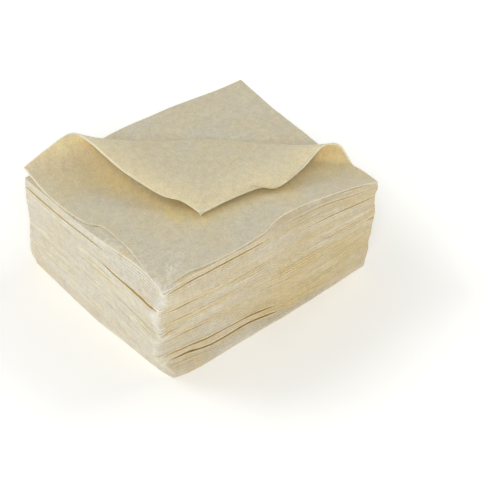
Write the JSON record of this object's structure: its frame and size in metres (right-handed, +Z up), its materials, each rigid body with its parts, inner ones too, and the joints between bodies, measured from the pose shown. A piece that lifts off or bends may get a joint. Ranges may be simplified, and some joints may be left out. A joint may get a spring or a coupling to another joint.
{
  "type": "stack of dough wrappers",
  "caption": "Compact stack of thin rectangular raw dough wrappers; the top one is folded over with two raised, curled ends.",
  "frame": {"origin": "middle of the whole stack's box, on the surface that it rests on", "axes": "+X along the wrappers' longer side, +Y along the shorter side, +Z up; the flap of the folded wrapper points towards -X -Y"},
  "size_m": [0.096, 0.0796, 0.0476],
  "materials": {
    "dough": "matte, floured",
    "folded_dough": "matte, slightly moist"
  },
  "bodies": {
    "root": {"wrapper_01": "dough", "wrapper_02": "dough", "wrapper_03": "dough", "wrapper_04": "dough", "wrapper_05": "dough", "wrapper_06": "dough", "wrapper_07": "dough", "wrapper_08": "dough", "wrapper_09": "dough", "wrapper_10": "dough", "wrapper_11": "dough", "wrapper_12": "dough", "wrapper_13": "dough", "wrapper_14": "dough", "wrapper_15": "dough", "wrapper_16": "dough", "wrapper_17": "dough", "wrapper_18": "dough", "wrapper_19": "dough", "wrapper_20": "dough", "wrapper_21": "dough", "wrapper_22": "dough", "wrapper_23": "dough", "wrapper_24": "dough", "wrapper_25": "dough", "wrapper_26": "dough", "wrapper_27": "dough", "wrapper_28": "dough", "wrapper_29": "dough", "wrapper_30": "dough", "wrapper_31": "dough", "wrapper_32": "dough", "wrapper_33": "dough", "wrapper_34": "dough", "wrapper_35": "dough", "wrapper_36": "dough", "wrapper_37": "dough", "wrapper_38": "dough", "wrapper_39": "dough", "wrapper_40": "dough", "wrapper_41": "dough", "wrapper_42": "dough", "wrapper_43": "dough", "wrapper_44": "dough", "wrapper_folded": "folded_dough"}
  },
  "joints": []
}
